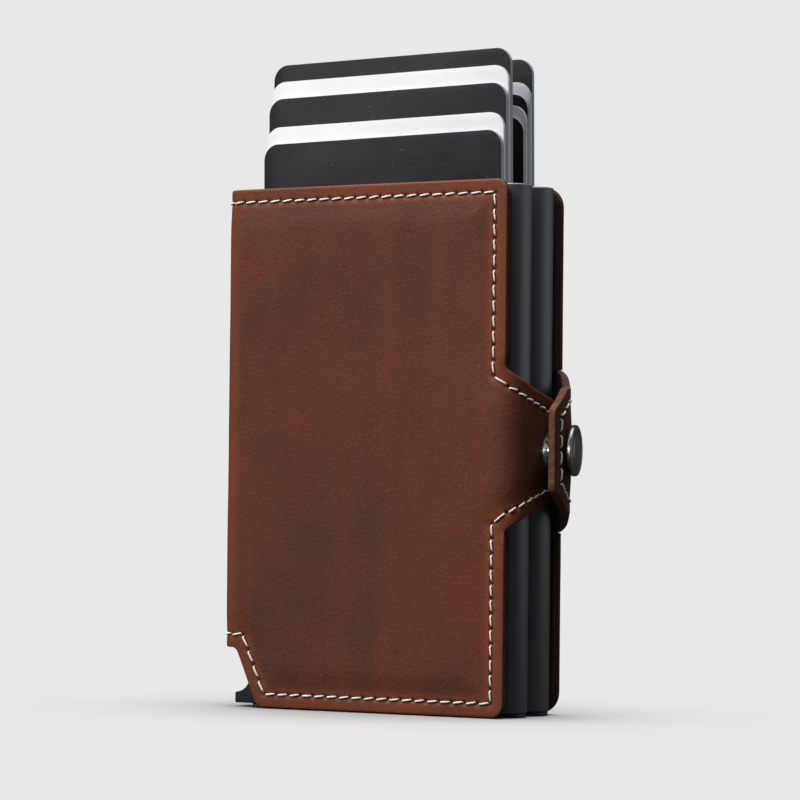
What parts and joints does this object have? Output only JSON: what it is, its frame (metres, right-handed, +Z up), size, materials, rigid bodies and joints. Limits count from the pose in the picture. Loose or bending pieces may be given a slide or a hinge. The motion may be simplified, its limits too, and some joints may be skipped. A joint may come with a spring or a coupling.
{
  "type": "card wallet",
  "caption": "Folding leather wallet around aluminium card protectors. Each lever raises its cards in steps, and a snap tab closes the strap over the side.",
  "frame": {"origin": "bottom centre of the closed, standing wallet", "axes": "+Z up along the cards, +Y from the front panel to the back panel, +X from the spine to the closure"},
  "size_m": [0.0736, 0.022, 0.1266],
  "materials": {
    "leather": "matte vintage leather with raw edges",
    "lining": "suede side",
    "mount_pad": "adhesive foam pad",
    "aluminium": "dark grey anodised",
    "black_plastic": "fine satin",
    "felt": "felt",
    "pin_steel": "ground",
    "snap_metal": "polished nickel",
    "snap_cap": "gunmetal, fine brushed",
    "card_black": "satin card stock",
    "card_white": "satin card stock",
    "card_grey": "satin card stock",
    "thread": "waxed linen thread"
  },
  "bodies": {
    "back_half": {"back_panel": "leather", "back_lining": "lining", "back_mount_pad": "mount_pad", "rear_case_shell": "aluminium", "rear_base_insert": "black_plastic", "rear_pivot_pin": "pin_steel", "rear_felt_upper": "felt", "rear_felt_lower": "felt"},
    "spine": {"spine_leather": "leather", "spine_lining": "lining"},
    "front_half": {"front_panel": "leather", "front_lining": "lining", "front_mount_pad": "mount_pad", "front_case_shell": "aluminium", "front_base_insert": "black_plastic", "front_pivot_pin": "pin_steel", "front_felt_upper": "felt", "front_felt_lower": "felt", "snap_stud": "snap_metal", "snap_stud_post": "snap_metal"},
    "closure_tab": {"closure_tab": "leather", "snap_cap": "snap_cap", "snap_socket": "snap_metal"},
    "front_lever": {"front_lever": "black_plastic"},
    "front_card_1": {"front_card_1": "card_black"},
    "front_card_2": {"front_card_2": "card_white"},
    "front_card_3": {"front_card_3": "card_black"},
    "front_card_4": {"front_card_4": "card_white"},
    "front_card_5": {"front_card_5": "card_black"},
    "rear_lever": {"rear_lever": "black_plastic"},
    "rear_card_1": {"rear_card_1": "card_black"},
    "rear_card_2": {"rear_card_2": "card_grey"},
    "rear_card_3": {"rear_card_3": "card_black"},
    "rear_card_4": {"rear_card_4": "card_grey"},
    "rear_card_5": {"rear_card_5": "card_black"}
  },
  "joints": [
    {"name": "back_fold", "type": "hinge", "parent": "back_half", "child": "spine", "pos_m": [-0.03579, 0.00997, 0.0505], "axis": [0, 0, -1], "range_deg": [0, 90]},
    {"name": "front_fold", "type": "hinge", "parent": "spine", "child": "front_half", "pos_m": [-0.03579, -0.00997, 0.0505], "axis": [0, 0, -1], "range_deg": [0, 90]},
    {"name": "tab_flap", "type": "hinge", "parent": "back_half", "child": "closure_tab", "pos_m": [0.02634, 0.011, 0.05025], "axis": [0, 0, 1], "range_deg": [0, 90]},
    {"name": "front_card_5_slide", "type": "slide", "parent": "front_half", "child": "front_card_5", "axis": [0, 0, -1], "range_m": [0, 0.0273]},
    {"name": "front_lever_swing", "type": "hinge", "parent": "front_half", "child": "front_lever", "pos_m": [-0.02726, -0.00507, 0.009], "axis": [0, 1, 0], "range_deg": [0, 35]},
    {"name": "front_card_1_slide", "type": "slide", "parent": "front_half", "child": "front_card_1", "axis": [0, 0, -1], "range_m": [0, 0.0114]},
    {"name": "front_card_2_slide", "type": "slide", "parent": "front_half", "child": "front_card_2", "axis": [0, 0, -1], "range_m": [0, 0.0148]},
    {"name": "front_card_3_slide", "type": "slide", "parent": "front_half", "child": "front_card_3", "axis": [0, 0, -1], "range_m": [0, 0.0205]},
    {"name": "front_card_4_slide", "type": "slide", "parent": "front_half", "child": "front_card_4", "axis": [0, 0, -1], "range_m": [0, 0.0239]},
    {"name": "rear_card_5_slide", "type": "slide", "parent": "back_half", "child": "rear_card_5", "axis": [0, 0, -1], "range_m": [0, 0.026]},
    {"name": "rear_lever_swing", "type": "hinge", "parent": "back_half", "child": "rear_lever", "pos_m": [-0.02726, 0.00313, 0.009], "axis": [0, 1, 0], "range_deg": [0, 35]},
    {"name": "rear_card_1_slide", "type": "slide", "parent": "back_half", "child": "rear_card_1", "axis": [0, 0, -1], "range_m": [0, 0.0146]},
    {"name": "rear_card_2_slide", "type": "slide", "parent": "back_half", "child": "rear_card_2", "axis": [0, 0, -1], "range_m": [0, 0.0169]},
    {"name": "rear_card_3_slide", "type": "slide", "parent": "back_half", "child": "rear_card_3", "axis": [0, 0, -1], "range_m": [0, 0.0191]},
    {"name": "rear_card_4_slide", "type": "slide", "parent": "back_half", "child": "rear_card_4", "axis": [0, 0, -1], "range_m": [0, 0.0215]}
  ],
  "couplings": [
    {"joint": "front_fold", "follows": "back_fold", "ratio": 1},
    {"joint": "front_card_1_slide", "follows": "front_card_5_slide", "ratio": 0.41758},
    {"joint": "front_card_2_slide", "follows": "front_card_5_slide", "ratio": 0.54212},
    {"joint": "front_card_3_slide", "follows": "front_card_5_slide", "ratio": 0.75091},
    {"joint": "front_card_4_slide", "follows": "front_card_5_slide", "ratio": 0.87546},
    {"joint": "front_lever_swing", "follows": "front_card_5_slide", "rad_per_m": 22.376},
    {"joint": "rear_card_1_slide", "follows": "rear_card_5_slide", "ratio": 0.56154},
    {"joint": "rear_card_2_slide", "follows": "rear_card_5_slide", "ratio": 0.65},
    {"joint": "rear_card_3_slide", "follows": "rear_card_5_slide", "ratio": 0.73462},
    {"joint": "rear_card_4_slide", "follows": "rear_card_5_slide", "ratio": 0.82692},
    {"joint": "rear_lever_swing", "follows": "rear_card_5_slide", "rad_per_m": 23.495}
  ]
}
